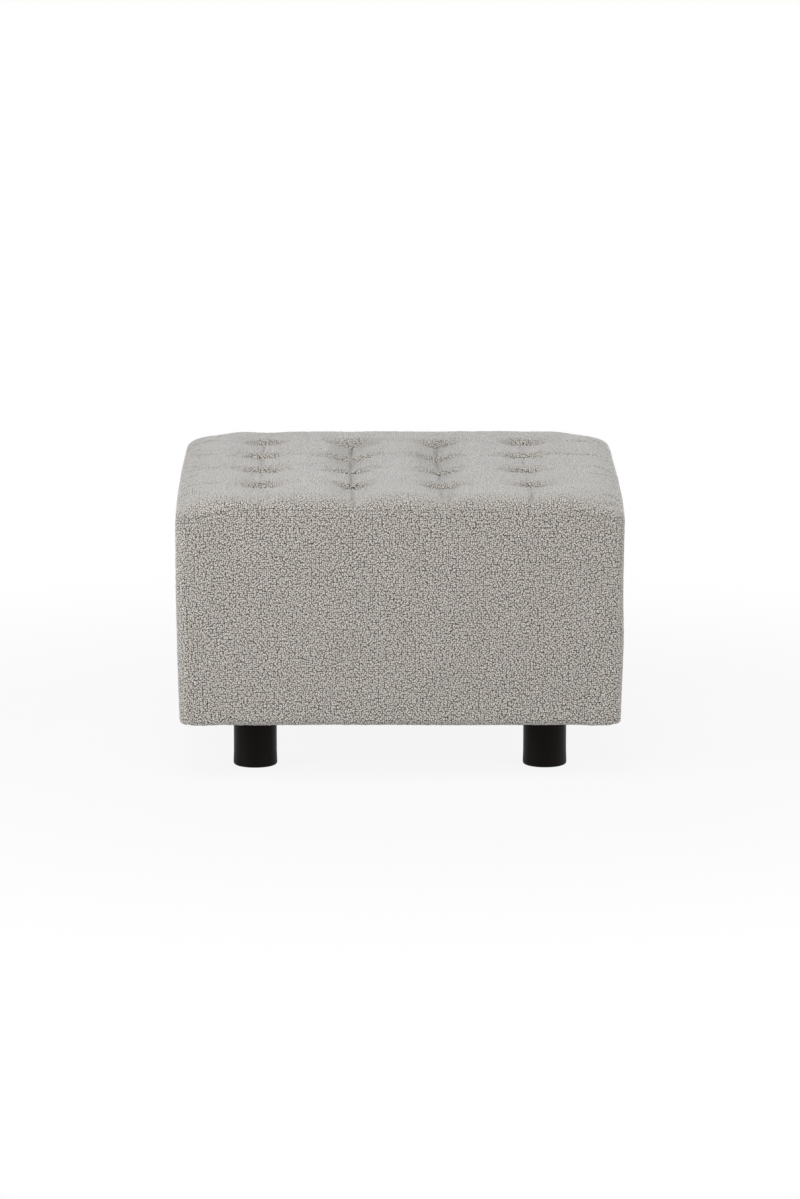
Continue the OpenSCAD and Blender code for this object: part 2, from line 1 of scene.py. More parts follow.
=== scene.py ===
# A square pouf in looped wool cloth with a blind-tufted top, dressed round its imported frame.
# The form follows the same functions as the solids, in metres, on much finer grids.
import math
import bpy
import numpy as np
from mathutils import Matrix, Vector


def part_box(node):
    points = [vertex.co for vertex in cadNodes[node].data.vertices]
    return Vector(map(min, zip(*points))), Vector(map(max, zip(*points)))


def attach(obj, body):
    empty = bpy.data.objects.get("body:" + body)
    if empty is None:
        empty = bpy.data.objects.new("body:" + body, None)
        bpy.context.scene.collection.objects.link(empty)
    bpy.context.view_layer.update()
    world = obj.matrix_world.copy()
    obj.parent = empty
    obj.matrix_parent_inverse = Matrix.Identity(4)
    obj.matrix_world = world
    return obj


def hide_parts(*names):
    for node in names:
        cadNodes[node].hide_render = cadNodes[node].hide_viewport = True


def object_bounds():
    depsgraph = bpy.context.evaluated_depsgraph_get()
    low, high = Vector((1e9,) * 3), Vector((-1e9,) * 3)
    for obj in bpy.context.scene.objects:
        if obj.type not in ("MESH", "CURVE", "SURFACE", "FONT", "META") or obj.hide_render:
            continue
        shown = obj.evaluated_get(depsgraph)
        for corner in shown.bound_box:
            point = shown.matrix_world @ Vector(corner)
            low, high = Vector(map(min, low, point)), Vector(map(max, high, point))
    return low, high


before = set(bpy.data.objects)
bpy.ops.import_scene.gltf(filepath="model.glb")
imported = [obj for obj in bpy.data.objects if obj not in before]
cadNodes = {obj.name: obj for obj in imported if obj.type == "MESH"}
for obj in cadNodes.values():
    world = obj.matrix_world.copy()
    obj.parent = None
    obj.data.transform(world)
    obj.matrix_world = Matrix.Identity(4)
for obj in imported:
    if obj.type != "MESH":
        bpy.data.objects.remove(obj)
cadBox = [list(corner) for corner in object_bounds()]
print("frame loaded:", len(cadNodes), "nodes")


# The form of the upholstered body

bodyForm = {
    "cornerRadius": 0.014,      # upright corners
    "cornerIn": 0.002,          # how far the corners are drawn in from the middle of a side
    "bottomIn": 0.0045,         # how far the sides are drawn in at the underside
    "turnRadius": 0.0085,       # turn of the cloth at the lower edge
    "seamIn": 0.0012,           # how far the top seam is drawn in
    "widestBelow": 0.05,        # depth below the seam at which the sides are widest
    "seamDrop": 0.0095,         # drop of the seam at the corners
    "dropLength": 0.085,        # length over which it drops
    "hemWidth": 0.045,          # cloth turned under the body
    "rightIn": 0.0024,          # how much flatter the right side is than the left
    "flatStep": (0.2, 0.1),     # depth below the seam where that starts, and the height it takes
    "fullStep": (0.06, 0.05),   # the same for the share that is taken back
    "fullShare": 0.6,
    "layerGap": 0.0003,         # between soft layers
    "gridStep": 0.0024,         # spacing of the grid lines on the cover
    "edgeLines": (0, 0.35, 0.8, 1.4, 2.1),  # the first of them from an edge, in steps
    "innerEvery": 4,            # the inner side of the cover has one line for so many outer ones
}
halfWidth, halfDepth = cadBox[1][0], cadBox[1][1]
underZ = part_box("bottom_lining")[1].z
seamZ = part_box("front_cover")[1].z
widestZ = seamZ - bodyForm["widestBelow"]
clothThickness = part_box("leg_spacers")[1].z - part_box("leg_spacers")[0].z
softGap = clothThickness + bodyForm["layerGap"]

topForm = {
    "crown": cadBox[1][2] - seamZ - 0.0004,     # the loops stand above it
    "rollWidth": 0.042,         # roll round the edge
    "rollFullness": 2.1,        # 2 is round, 4 nearly square
    "tuftPitch": 0.12,
    "tuftDepth": 0.022,
    "wideDip": 0.006,           # shallow part of a tuft's dip
    "wideRadius": 0.06,
    "bowlDepth": 0.0135,
    "pinchRadius": 0.014,       # the rest of the depth, close to the twine
    "flank": 1.5,               # power that rounds the flanks of the dips, and of the rows' creases
    "rowFlank": 1.3,
    # Radius in mm of the bowl of each tuft, front row first
    "bowlRadius": ((30, 25, 28, 26), (31, 30, 29, 26), (30, 38, 35, 30), (34, 39, 36, 33)),
    "creaseHalfWidth": 0.04,
    "lineDepth": 0.0023,        # thin fold at the bottom of each column's crease
    "lineHalfWidth": 0.004,
    "lineFull": 0.006,          # depth of the crease from which that fold is full
    "rowLost": 0.012,           # depth of a column's crease at which the row's is lost in it
    "blend": 0.0022,            # difference in depth over which dips and creases melt together
    # How far each tuft was sewn off its place, to the right, in mm, front row first
    "tuftShift": ((-5, -3, -4, -3), (-7, -7, -5, -10), (-8, -7, -9, -9), (-6, -5, -5, -6)),
    # Depth in mm of the crease in each column: front edge, three gaps between rows, back edge
    "columnCrease": ((2.5, 5, 5, 2.5), (3, 5, 5, 3), (3, 8, 8, 3), (3, 8, 8, 3), (1.4, 0.8, 0.2, 0.5)),
    "rowCrease": (0.6, 0.6, 1.0, 1.3),
    # The front row's crease over the left roll: both ends, depth and half-width
    "leftFold": ((-0.312, -0.19), (-0.235, -0.184), 0.0034, 0.009),
}
tuftPlaces = (np.arange(4) - 1.5) * topForm["tuftPitch"]
tuftX = tuftPlaces[None, :] + np.array(topForm["tuftShift"]) / 1000
tufts = np.stack([tuftX, np.repeat(tuftPlaces[:, None], 4, axis=1)], 2).reshape(-1, 2)


def ease(t):
    # smooth step from 0 to 1
    u = np.clip(t, 0, 1)
    return u * u * (3 - 2 * u)


def roll(inset):
    # share of the crown reached at a distance in from the edge: a quarter of a superellipse
    t = np.clip(inset / topForm["rollWidth"], 0, 1)
    n = topForm["rollFullness"]
    return (1 - (1 - t) ** n) ** (1 / n)


def cornerDrop(x, y):
    # drop of the seam: the product of two smooth steps that start at dropLength from the corner
    reach = bodyForm["dropLength"]
    near = [ease((np.abs(p) - half + reach) / (reach - bodyForm["cornerRadius"]))
            for p, half in ((x, halfWidth), (y, halfDepth))]
    return bodyForm["seamDrop"] * near[0] * near[1]


def pull(z):
    # how far the sides are drawn in: a fourth power above the widest height, a square below it
    above = bodyForm["seamIn"] * (np.clip(z - widestZ, 0, None) / bodyForm["widestBelow"]) ** 4
    span = widestZ - underZ - bodyForm["turnRadius"]
    below = bodyForm["bottomIn"] * np.clip((widestZ - z) / span, 0, 1) ** 2
    return above + below


def flatter(z):
    # how far the right side is drawn in: a smooth step below the seam, less part of a higher one
    steps = bodyForm["flatStep"], bodyForm["fullStep"]
    flat, full = (ease((z - seamZ + below) / height) for below, height in steps)
    return bodyForm["rightIn"] * (flat - bodyForm["fullShare"] * full)


def drawn(x, y, inset, z):
    # The square's corners made round, by drawing each point there in to the circle. The outline is
    # then shrunk by the inset and, with the square of the place along a side, more at the corners.
    radius = bodyForm["cornerRadius"]
    cx, cy = halfWidth - radius, halfDepth - radius
    ax, ay = np.abs(x) - cx, np.abs(y) - cy
    atCorner = (ax > 0) & (ay > 0)
    k = np.where(atCorner, np.maximum(ax, ay) / np.maximum(np.hypot(ax, ay), 1e-9), 1)
    px = np.where(atCorner, np.sign(x) * (cx + k * ax), x)
    py = np.where(atCorner, np.sign(y) * (cy + k * ay), y)
    moreX = inset + bodyForm["cornerIn"] * (py / halfDepth) ** 2
    moreY = inset + bodyForm["cornerIn"] * (px / halfWidth) ** 2
    px = px - flatter(z) * ease(px / halfWidth)
    return px * (1 - moreX / halfWidth), py * (1 - moreY / halfDepth)


def groove(distance, depth, halfWidth):
    # depth times the square of how near the point is, from 0 at the half-width to 1
    return depth * np.clip(1 - distance / halfWidth, 0, 1) ** 2


def cone(distance, depth, radius, power):
    # depth times a power of how near the point is, from 0 at the radius to 1 in the middle
    return depth * np.clip(1 - distance / radius, 0, None) ** power


def fold(x, y, start, end, depth, halfWidth):
    # groove along a line between two points, fading to its ends with a fourth power
    along = np.subtract(end, start)
    share = np.clip(((x - start[0]) * along[0] + (y - start[1]) * along[1]) / (along @ along), 0, 1)
    away = np.hypot(x - start[0] - share * along[0], y - start[1] - share * along[1])
    return groove(away, depth, halfWidth) * (1 - (2 * share - 1) ** 4)


def tuftDip(x, y):
    # the deepest of sixteen dips, each a bowl in a wide cone with a pinch at its middle, joined
    # by creases along the columns and rows
    form = topForm
    dip = np.zeros(np.broadcast(x, y).shape)
    pinchDepth = form["tuftDepth"] - form["wideDip"] - form["bowlDepth"]
    for (tx, ty), radius in zip(tufts, np.ravel(form["bowlRadius"]) / 1000):
        away = np.hypot(x - tx, y - ty)
        wide = cone(away, form["wideDip"], form["wideRadius"], form["flank"])
        bowl = form["bowlDepth"] * np.clip(1 - (away / radius) ** 2, 0, None) ** form["flank"]
        pinch = cone(away, pinchDepth, form["pinchRadius"], form["flank"])
        dip = np.maximum(dip, wide + bowl + pinch)
    rowEnds = np.concatenate([[-halfDepth], tuftPlaces, [halfDepth]])
    middles = (rowEnds[1:] + rowEnds[:-1]) / 2
    half = form["creaseHalfWidth"]
    columns = np.zeros(dip.shape)
    for column in range(4):
        away = np.abs(x - np.interp(y, tuftPlaces, tuftX[:, column]))
        depth = np.interp(y, middles, np.array(form["columnCrease"])[:, column]) / 1000
        full = np.clip(depth / form["lineFull"], 0, 1)
        line = form["lineDepth"] * full * groove(away, 1, form["lineHalfWidth"])
        columns = np.maximum(columns, depth * ease(1 - away / half) + line)
    rows = np.zeros(dip.shape)
    for place, depth in zip(tuftPlaces, form["rowCrease"]):
        rows = np.maximum(rows, cone(np.abs(y - place), depth / 1000, half, form["rowFlank"]))
    creases = columns + rows * (1 - columns / form["rowLost"])
    # a soft maximum rounds the line where dip and crease meet
    near = np.clip(1 - np.abs(dip - creases) / form["blend"], 0, 1)
    dip = np.maximum(dip, creases) + form["blend"] * near ** 2 / 4 * (np.minimum(dip, creases) > 0)
    return dip + fold(x, y, *form["leftFold"])


def topHeight(x, y, dip):
    # the seam's height plus the crown less the dip, times the roll's share each way
    edge = roll(halfWidth - np.abs(x)) * roll(halfDepth - np.abs(y))
    return seamZ - cornerDrop(x, y) + edge * (topForm["crown"] - dip)


def lineCount(length, step):
    # how many steps go into the length, as a multiple of what the inner side needs
    every = bodyForm["innerEvery"]
    return every * int(round(length / step / every))


def spread(length, step):
    # distances from 0 to length, close together at the start and then even
    first = np.array(bodyForm["edgeLines"]) * step
    count = lineCount(length - first[-1], step)
    return np.concatenate([first, np.linspace(first[-1], length, count + 1)[1:]])


def evenLines(half, step):
    # places across the top whose spacing is even along the roll, found from its arc length,
    # which is added up over samples that lie closer together at the rim
    samples, closeness = 2000, 2.2
    inset = topForm["rollWidth"] * np.linspace(0, 1, samples) ** closeness
    rise = topForm["crown"] * roll(inset)
    arc = np.concatenate([[0], np.cumsum(np.hypot(np.diff(inset), np.diff(rise)))])
    inset = np.append(inset, half)
    arc = np.append(arc, arc[-1] + half - topForm["rollWidth"])
    edge = np.interp(spread(arc[-1], step), arc, inset)
    return np.concatenate([edge - half, (half - edge)[::-1][1:]])


# Meshes from grids

def gridFaces(rows, cols, first=0, flip=False):
    # four corners of each cell, counter-clockwise seen from outside
    a = first + (np.arange(rows - 1)[:, None] * cols + np.arange(cols - 1)).ravel()
    quads = np.stack([a, a + 1, a + cols + 1, a + cols], 1)
    return quads[:, ::-1] if flip else quads


def rimLoop(rows, cols, first=0):
    # the numbers of the rim's points, in order round the grid
    grid = first + np.arange(rows * cols).reshape(rows, cols)
    return np.concatenate([grid[0, :-1], grid[:-1, -1], grid[-1, :0:-1], grid[:0:-1, 0]])


def addObject(name, data):
    thing = bpy.data.objects.new(name, data)
    bpy.context.scene.collection.objects.link(thing)
    return thing


def addMesh(name, points, faces):
    # a smooth piece with its place in its mesh
    mesh = bpy.data.meshes.new(name)
    mesh.from_pydata(np.asarray(points, float).tolist(), [], faces)
    mesh.validate()
    mesh.shade_smooth()
    return addObject(name, mesh)


def shellFaces(rows, cols, step):
    # outer sheet, inner sheet on every step-th line, and a rim that joins the two
    inRows, inCols = (rows - 1) // step + 1, (cols - 1) // step + 1
    count = rows * cols
    outerRim, innerRim = rimLoop(rows, cols), rimLoop(inRows, inCols, count)
    starts = np.arange(len(innerRim))[:, None] * step
    outer = outerRim[(starts + np.arange(step, -1, -1)) % len(outerRim)]
    rim = np.concatenate([outer, innerRim[:, None], np.roll(innerRim, -1)[:, None]], 1)
    sheets = gridFaces(rows, cols).tolist() + gridFaces(inRows, inCols, count, True).tolist()
    return sheets + rim.tolist()


def clothPlaces(sheet):
    # metres along the cloth each way, measured on the sheet's middle lines
    lines = sheet[sheet.shape[0] // 2], sheet[:, sheet.shape[1] // 2]
    lengths = (np.linalg.norm(np.diff(line, axis=0), axis=1) for line in lines)
    u, v = (np.concatenate([[0], np.cumsum(length)]) for length in lengths)
    return np.stack(np.broadcast_arrays(u[None, :], v[:, None]), 2)


def addShell(name, outer, inner):
    # a sheet with a thickness, with its cloth places as a UV map
    rows, cols = outer.shape[:2]
    step = bodyForm["innerEvery"]
    points = np.concatenate([outer.reshape(-1, 3), inner[::step, ::step].reshape(-1, 3)])
    shell = addMesh(name, points, shellFaces(rows, cols, step))
    places = clothPlaces(outer)
    places = np.concatenate([places.reshape(-1, 2), places[::step, ::step].reshape(-1, 2)])
    corners = np.empty(len(shell.data.loops), int)
    shell.data.loops.foreach_get("vertex_index", corners)
    shell.data.uv_layers.new(name="cloth").data.foreach_set("uv", places[corners].ravel())
    return shell


def addBlock(name, upper, lower, holes=(), holeRadius=0):
    # a closed block between two grids of the same size, with a round hole at each given
    # grid point: its cells are left out and its eight neighbours moved to a circle
    rows, cols = upper.shape[:2]
    count = rows * cols
    upper, lower = upper.copy(), lower.copy()
    faces = [gridFaces(rows, cols), gridFaces(rows, cols, count, True)]
    ringRow, ringCol = np.array([(-1, -1, -1, 0, 1, 1, 1, 0), (-1, 0, 1, 1, 1, 0, -1, -1)])
    angle = np.arctan2(ringRow, ringCol)
    circle = holeRadius * np.stack([np.cos(angle), np.sin(angle)], 1)
    walls = []
    for r, c in holes:
        for sheet in (upper, lower):
            sheet[r + ringRow, c + ringCol, :2] = sheet[r, c, :2] + circle
        loop = (r + ringRow) * cols + c + ringCol
        after = np.roll(loop, -1)
        walls.append(np.stack([loop, after, after + count, loop + count], 1))
        for sheet in (0, 1):
            middle = r * cols + c + sheet * count
            faces[sheet] = faces[sheet][~(faces[sheet] == middle).any(1)]
    rim, foot = rimLoop(rows, cols), rimLoop(rows, cols, count)
    side = np.stack([rim, foot, np.roll(foot, -1), np.roll(rim, -1)], 1)
    used, faces = np.unique(np.concatenate(faces + walls + [side]), return_inverse=True)
    points = np.concatenate([upper.reshape(-1, 3), lower.reshape(-1, 3)])[used]
    return addMesh(name, points, faces.reshape(-1, 4).tolist())


def nearest(lines, place):
    # the number of the line that lies nearest to a place
    return int(np.abs(lines - place).argmin())


def sideways(alongX, along, across):
    # what runs along a side of the body and across it, as x and y, and the other way round
    return (along, across) if alongX else (across, along)


def smoothNoise(shape, cell, seed):
    # random numbers on a coarse grid, spread over the fine one by cosine steps, from -1 to 1
    rows, cols = (int(np.ceil(n / cell)) + 2 for n in shape)
    values = np.random.default_rng(seed).uniform(-1, 1, (rows, cols))
    r, c = (np.arange(n) / cell for n in shape)
    ri, ci = r.astype(int), c.astype(int)
    fr, fc = ease(r - ri)[:, None], ease(c - ci)[None, :]
    low, high = (values[row][:, ci] * (1 - fc) + values[row][:, ci + 1] * fc for row in (ri, ri + 1))
    return low * (1 - fr) + high * fr


def surfaceNormals(grid):
    # cross product of the two directions of the grid, by finite differences
    normal = np.cross(np.gradient(grid, axis=1), np.gradient(grid, axis=0))
    return normal / np.maximum(np.linalg.norm(normal, axis=2, keepdims=True), 1e-12)


# The cover

clothForm = {
    # Depth and half-width of the grooves of the sewn top seam and of the upright corners
    "seamGroove": (0.0013, 0.0026),
    "cornerGroove": (0.0008, 0.003),
    # Puckers in the front below the seam, beside its corners: both ends, depth and half-width
    "puckers": (((-0.296, 0.0042), (-0.25, -0.0005), 0.0026, 0.003),
                ((0.25, 0.0004), (0.296, 0.0026), 0.002, 0.0026)),
    "loopHeight": 0.0003,       # relief of the loops that the grid can hold
    "loopCells": (1.0, 1.7),    # the two sizes of that relief, in grid lines
    "secondShare": 0.8,
    "waviness": 0.0006,         # slow unevenness of the cloth on its foam
    "waveCells": 22,
    "fadeLines": 5,             # grid lines over which the relief comes in from a sheet's rim
    "hemRelief": 0.006,         # how far it reaches along the hem, which the lining covers
    "sag": 0.0045,              # of the cloth gathered at the lower corners
    "sagPlace": 0.035,          # how far from the corner it hangs lowest
    "sagWidth": 0.026,
    "sagDepth": 0.011,          # in under the body
    "sagTop": 0.05,             # height above the underside where it ends
    "sagRise": 0.045,
}

settleForm = {
    "pressure": 1.5,
    "frames": 20,
    "slack": 0.02,              # how much larger the cloth is cut than the form below it
    "stiffness": 0.3,           # against bending
    "seamLines": 4,             # grid lines held along the seam
    "heldRadius": 0.006,        # round each tuft, and less so as far again
    "unevenness": 0.0004,       # where the cloth starts, with its size and the lines of its fade
    "unevenCells": 3.1,
    "unevenFade": 6,
    "limit": 0.002,             # farthest that a point may move
    "backCalm": 0.06,           # strip along the back edge that keeps its form
    "backFade": 0.05,
}


def edgeFade(shape, reach):
    # 0 on the rim of a grid and 1 from reach lines inwards
    r, c = (np.minimum(np.arange(n), np.arange(n)[::-1]) for n in shape)
    return np.clip(np.minimum(r[:, None], c[None, :]) / reach, 0, 1)


def loops(shape, seed):
    # relief of the looped yarn: two sizes of noise and slow waves, less at the sheet's rim
    form = clothForm
    small, large = form["loopCells"]
    fine = smoothNoise(shape, small, seed) + form["secondShare"] * smoothNoise(shape, large, seed + 1)
    slow = smoothNoise(shape, form["waveCells"], seed + 2)
    return (form["loopHeight"] * fine + form["waviness"] * slow) * edgeFade(shape, form["fadeLines"])


def topSheet(x, y, gap, dip, inset=0):
    # the grid drawn in by the side's pull at the seam, plus the gap, at the top's height
    rimZ = seamZ - cornerDrop(x, y)
    px, py = drawn(x, y, gap + inset + pull(rimZ), rimZ)
    return np.stack([px, py, topHeight(x, y, dip) - gap], 2)


def makeTopCover():
    # the settled form, drawn in by the seam's groove, with the loops along its normals
    x, y = np.meshgrid(*coverLines)
    dip = tuftDip(x, y)
    smooth = topSheet(x, y, 0, dip)
    outer = smooth + halved(halved(topMove, 0), 1)
    normal = surfaceNormals(outer)
    inner = outer - normal * clothThickness
    toEdge = np.minimum(halfWidth - np.abs(x), halfDepth - np.abs(y))
    slope = np.hypot(toEdge, topForm["crown"] * roll(toEdge))
    inset = groove(slope, *clothForm["seamGroove"])
    outer = outer + topSheet(x, y, 0, dip, inset) - smooth
    outer += normal * loops(x.shape, 11)[..., None]
    return addShell("topCover", outer, inner)


def settleTop():
    # How far Blender's cloth moves each point on every second line of the cover: it is pressed
    # from below and held along the seam and at the tufts. A hyperbolic tangent then keeps each
    # move below the limit.
    form = settleForm
    x, y = np.meshgrid(*(lines[::2] for lines in coverLines))
    coarse = topSheet(x, y, 0, tuftDip(x, y))
    rows, cols = x.shape
    start = coarse.copy()
    uneven = form["unevenness"] * smoothNoise(x.shape, form["unevenCells"], 5)
    start[..., 2] += uneven * edgeFade(x.shape, form["unevenFade"])
    sheet = addMesh("settlingTop", start.reshape(-1, 3), gridFaces(rows, cols).tolist())
    toTuft = np.min([np.hypot(x - tx, y - ty) for tx, ty in tufts], axis=0)
    atTuft = np.clip(2 - toTuft / form["heldRadius"], 0, 1)
    held = np.maximum(1 - edgeFade(x.shape, form["seamLines"]), atTuft).ravel()
    group = sheet.vertex_groups.new(name="held")
    for number in np.flatnonzero(held > 0.01).tolist():
        group.add([number], float(held[number]), "REPLACE")
    cloth = sheet.modifiers.new("cloth", "CLOTH").settings
    cloth.vertex_group_mass = "held"
    cloth.use_pressure = True
    cloth.uniform_pressure_force = form["pressure"]
    cloth.effector_weights.gravity = 0
    cloth.shrink_min = -form["slack"]
    cloth.bending_stiffness = form["stiffness"]
    for frameNumber in range(1, form["frames"] + 1):
        bpy.context.scene.frame_set(frameNumber)
    settled = sheet.evaluated_get(bpy.context.evaluated_depsgraph_get()).data
    points = np.empty(rows * cols * 3)
    settled.vertices.foreach_get("co", points)
    bpy.context.scene.frame_set(1)
    bpy.data.meshes.remove(sheet.data)
    move = points.reshape(rows, cols, 3) - coarse
    length = np.linalg.norm(move, axis=2, keepdims=True)
    move *= form["limit"] * np.tanh(length / form["limit"]) / np.maximum(length, 1e-9)
    move *= ease((halfDepth - form["backCalm"] - y) / form["backFade"])[..., None]
    farthest = 1000 * np.linalg.norm(move, axis=2).max()
    print("top cloth settled: moved by %.1f mm at most" % farthest)
    return move


def moveAt(xLines, yLines):
    # the movement of the settled cloth on other lines, read off in a straight line each way
    fromX, fromY = (lines[::2] for lines in coverLines)
    across = np.apply_along_axis(lambda row: np.interp(xLines, fromX, row), 1, topMove)
    return np.apply_along_axis(lambda line: np.interp(yLines, fromY, line), 0, across)


def halved(values, axis):
    # a new value between each two, from the four nearest: (-1, 9, 9, -1) sixteenths
    values = np.moveaxis(values, axis, 0)
    wide = np.concatenate([values[:1], values, values[-1:]])
    between = (9 * (wide[1:-2] + wide[2:-1]) - wide[:-3] - wide[3:]) / 16
    out = np.empty((2 * len(values) - 1, *values.shape[1:]))
    out[::2], out[1::2] = values, between
    return np.moveaxis(out, 0, axis)


def cornerSag(px, py, z):
    # hump beside each lower corner: a bell curve along the edge, half of one inwards, and a
    # smooth step up the side
    form = clothForm
    inwards, along = np.sort(np.stack([halfWidth - np.abs(px), halfDepth - np.abs(py)]), axis=0)
    hump = np.exp(-((along - form["sagPlace"]) / form["sagWidth"]) ** 2)
    hump *= np.exp(-(inwards / form["sagDepth"]) ** 2)
    return form["sag"] * hump * ease((underZ + form["sagTop"] - z) / form["sagRise"])


def makeSideCover(name, alongX, side, seed):
    # one sheet from the seam down the side, round the lower edge and along the hem
    form, step = clothForm, bodyForm["gridStep"]
    radius, footIn = bodyForm["turnRadius"], bodyForm["bottomIn"]
    half, reach = sideways(alongX, halfWidth, halfDepth)
    places = evenLines(half, step)[None, :]
    x, y = sideways(alongX, places, 0 * places + side * reach)
    top = seamZ - cornerDrop(x, y)
    down = spread(seamZ - underZ - radius, step)[:, None]
    angle = np.radians(np.linspace(0, 90, bodyForm["innerEvery"] + 1))[1:, None]
    hemReach = bodyForm["hemWidth"] - footIn - radius
    hem = np.linspace(0, hemReach, lineCount(hemReach, step) + 1)[1:, None]
    share = down / down[-1]
    fromSeam = groove(down + 0 * x, *form["seamGroove"])
    if alongX and side < 0:
        for pucker in form["puckers"]:
            fromSeam = fromSeam + fold(x + 0 * down, down + 0 * x, *pucker)
    fromCorner = groove(half - np.abs(places), *form["cornerGroove"])

    def sheet(depth, grooved):
        # the height follows the seam's drop at the top and is level at the lower edge, whose
        # turn is a quarter circle
        z = top - share * (top - underZ - radius)
        inset = pull(z) + depth + grooved * np.maximum(fromSeam, fromCorner)
        turnZ = underZ + radius - (radius - depth) * np.sin(angle)
        turnIn = footIn + radius - (radius - depth) * np.cos(angle)
        inset = np.concatenate([inset, turnIn + grooved * fromCorner, footIn + radius + hem + 0 * x])
        z = np.concatenate([z, turnZ + 0 * x, underZ + depth + 0 * hem + 0 * x])
        px, py = drawn(x + 0 * z, y + 0 * z, inset, z)
        return np.stack([px, py, z - cornerSag(px, py, z)], 2)

    turned = alongX == (side < 0)       # whose faces would point inwards
    outer, inner = sheet(0, 1), sheet(clothThickness, 0)
    outward = surfaceNormals(outer) * (-1 if turned else 1)
    calm = np.concatenate([np.ones(len(down) + len(angle)), 1 - ease(hem[:, 0] / form["hemRelief"])])
    outer = outer + outward * (loops(outer.shape[:2], seed) * calm[:, None])[..., None]
    if turned:
        outer, inner = outer[::-1], inner[::-1]
    return addShell(name, outer, inner)


# Each side: whether it runs along x, on which side of the middle it lies, and its cloth's seed
sides = {"front": (True, -1, 21), "back": (True, 1, 31), "left": (False, -1, 41), "right": (False, 1, 51)}
coverLines = [evenLines(half, bodyForm["gridStep"]) for half in (halfWidth, halfDepth)]
topMove = settleTop()
topCover = makeTopCover()
sideCovers = {name: makeSideCover(name + "Cover", *side) for name, side in sides.items()}
print("cover made")


# Padding

padForm = {
    "gridStep": 0.005,
    "slabStep": 0.01,
    "rimLines": (0, 0.0008, 0.002, 0.0035),     # lines close to an edge
    "edgeRadius": 0.004,        # cut foam, softened at its edges
    "twineRadius": 0.0013,
    "seatRadius": 0.0102,       # where the pad is pressed down to a tufting disc
    "leastLean": 0.4,           # cosine of the steepest slope at which the gap is kept
    "sideRows": 27,             # grid lines down a side pad
}


def padLines(half, step):
    # multiples of the step, which meet every tuft, and a few lines close to the edge
    rim = half - np.array(padForm["rimLines"])
    count = np.floor((half - padForm["rimLines"][-1]) / step)
    inner = np.arange(-count, count + 1) * step
    return np.unique(np.round(np.concatenate([-rim, inner, rim]), 7))


def tuftCells(xLines, yLines):
    # row and column of the grid point at each tuft
    return [(nearest(yLines, y), nearest(xLines, x)) for y in tuftPlaces for x in tuftPlaces]


def makeTopPad():
    # the cover's form lowered by the cloth and a gap, with a flat seat over each disc
    xLines, yLines = (padLines(half, padForm["gridStep"]) for half in (halfWidth, halfDepth))
    x, y = np.meshgrid(xLines, yLines)
    dip, move = tuftDip(x, y), moveAt(xLines, yLines)
    outer = topSheet(x, y, 0, dip) + move
    lean = np.maximum(surfaceNormals(outer)[..., 2], padForm["leastLean"])
    upper = topSheet(x, y, softGap, dip) + move
    upper[..., 2] = outer[..., 2] - softGap / lean     # as far below the cloth on its slopes
    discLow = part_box("tuft_discs")[0].z
    for tx in tuftPlaces:
        for ty in tuftPlaces:
            seat = np.hypot(x - tx, y - ty) < padForm["seatRadius"]
            upper[seat, 2] = np.minimum(upper[seat, 2], discLow)
    lower = upper.copy()
    lower[..., 2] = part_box("top_pad")[0].z
    return addBlock("topPad", upper, lower, tuftCells(xLines, yLines), padForm["twineRadius"])


def makeFoamSlab():
    # a flat block whose upper and lower edges are quarter circles
    low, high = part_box("foam_slab")
    xLines, yLines = (padLines(half, padForm["slabStep"]) for half in (high.x, high.y))
    x, y = np.meshgrid(xLines, yLines)
    radius = padForm["edgeRadius"]
    toEdge = np.minimum(np.minimum(high.x - np.abs(x), high.y - np.abs(y)) / radius, 1)
    fall = radius * (1 - np.sqrt(1 - (1 - toEdge) ** 2))
    upper = np.stack([x, y, high.z - fall], 2)
    lower = np.stack([x, y, low.z + fall], 2)
    return addBlock("foamSlab", upper, lower, tuftCells(xLines, yLines), padForm["twineRadius"])


def makeSidePad(name, node, alongX, side):
    # the outer sheet lies a gap inside the cloth, with a quarter circle at its foot, and the
    # inner one flat on the box
    low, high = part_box(node)
    half, reach = sideways(alongX, halfWidth, halfDepth)
    boxHalf, boxReach = sideways(alongX, *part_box("deck")[1][:2])
    turn = bodyForm["turnRadius"] - softGap
    angle = np.radians([30, 60, 90])
    straight = np.linspace(high.z, low.z + turn, padForm["sideRows"])
    z = np.concatenate([straight, low.z + turn * (1 - np.sin(angle))])[:, None]
    footIn = np.concatenate([0 * straight, turn * (1 - np.cos(angle))])[:, None]
    z, place = np.broadcast_arrays(z, padLines(half, padForm["slabStep"])[None, :])
    x, y = sideways(alongX, place, 0 * z + side * reach)
    outer = np.stack([*drawn(x, y, pull(z) + softGap + footIn, z), z], 2)
    flat = place * (boxHalf / half)
    inner = np.stack([*sideways(alongX, flat, 0 * z + side * boxReach), z], 2)
    if alongX == (side < 0):        # whose faces would point inwards
        outer, inner = outer[::-1], inner[::-1]
    return addBlock(name, outer, inner)


topPad = makeTopPad()
foamSlab = makeFoamSlab()
sidePads = {name: makeSidePad(name + "Pad", name + "_pad", *side[:2]) for name, side in sides.items()}
print("padding made")


# Lining and its staples

